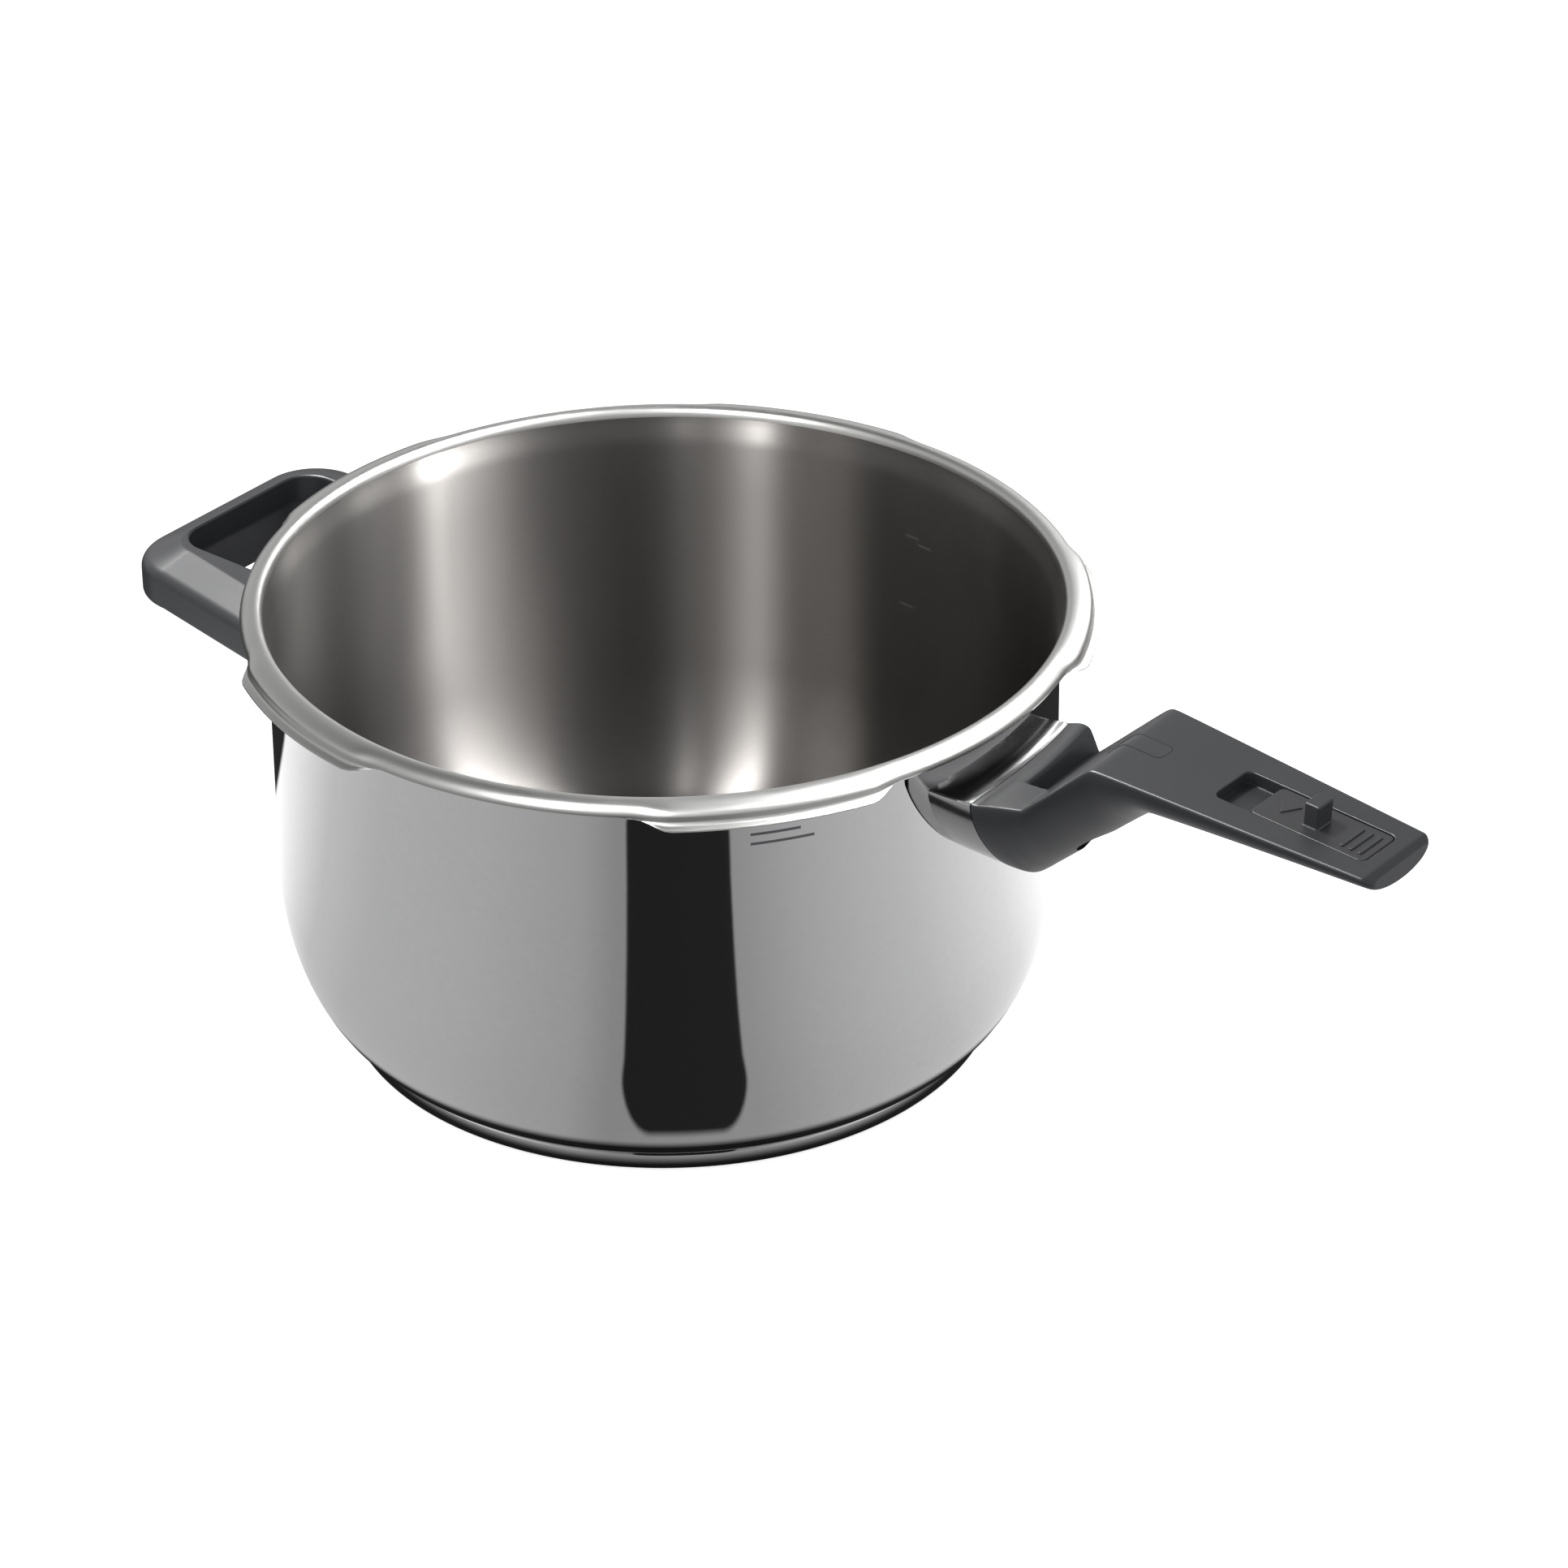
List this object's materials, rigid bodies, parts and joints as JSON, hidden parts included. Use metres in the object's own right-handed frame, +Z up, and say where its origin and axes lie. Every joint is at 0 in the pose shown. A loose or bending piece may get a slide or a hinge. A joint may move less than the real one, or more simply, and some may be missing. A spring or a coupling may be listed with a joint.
{
  "type": "pressure cooker pan",
  "caption": "Round deep steel pressure cooker pan with bayonet lugs on its rim, a capsule base, a long handle with a sliding lock and flame guard, and a looped side handle.",
  "frame": {"origin": "on the pan's axis, in the plane that it stands on", "axes": "+X along the long handle, away from the pan; +Z up"},
  "size_m": [0.4214, 0.2424, 0.145],
  "materials": {
    "polished_steel": "mirror-polished stainless steel outside, satin brushed inside",
    "aluminium": "plain aluminium plate",
    "black_phenolic": "dark grey moulded phenolic resin with a soft satin sheen",
    "slide_phenolic": "dark grey moulded phenolic resin with a soft satin sheen",
    "zinc_steel": "bright zinc-plated steel",
    "spring_steel": "plain drawn spring steel"
  },
  "bodies": {
    "pan": {"pan_shell": "polished_steel", "base_core": "aluminium", "base_capsule": "polished_steel", "flame_guard": "polished_steel", "long_bracket": "zinc_steel", "long_handle": "black_phenolic", "index_inlay": "black_phenolic", "underside_cover": "black_phenolic", "handle_washer": "zinc_steel", "lock_washer": "spring_steel", "handle_bolt": "zinc_steel", "cover_screw": "zinc_steel", "slide_spring": "spring_steel", "side_handle": "black_phenolic", "side_bracket": "zinc_steel", "side_washer": "zinc_steel", "side_screw": "zinc_steel", "side_nut": "zinc_steel"},
    "lock": {"lock_slide": "slide_phenolic", "slide_keeper": "zinc_steel", "keeper_screw": "zinc_steel"}
  },
  "joints": [
    {"name": "lock_travel", "type": "slide", "parent": "pan", "child": "lock", "axis": [-0.9982, 0, 0.0598], "range_m": [0, 0.008], "stiffness_N_per_m": 250, "springref_m": -0.004, "deforming": ["slide_spring"]}
  ]
}
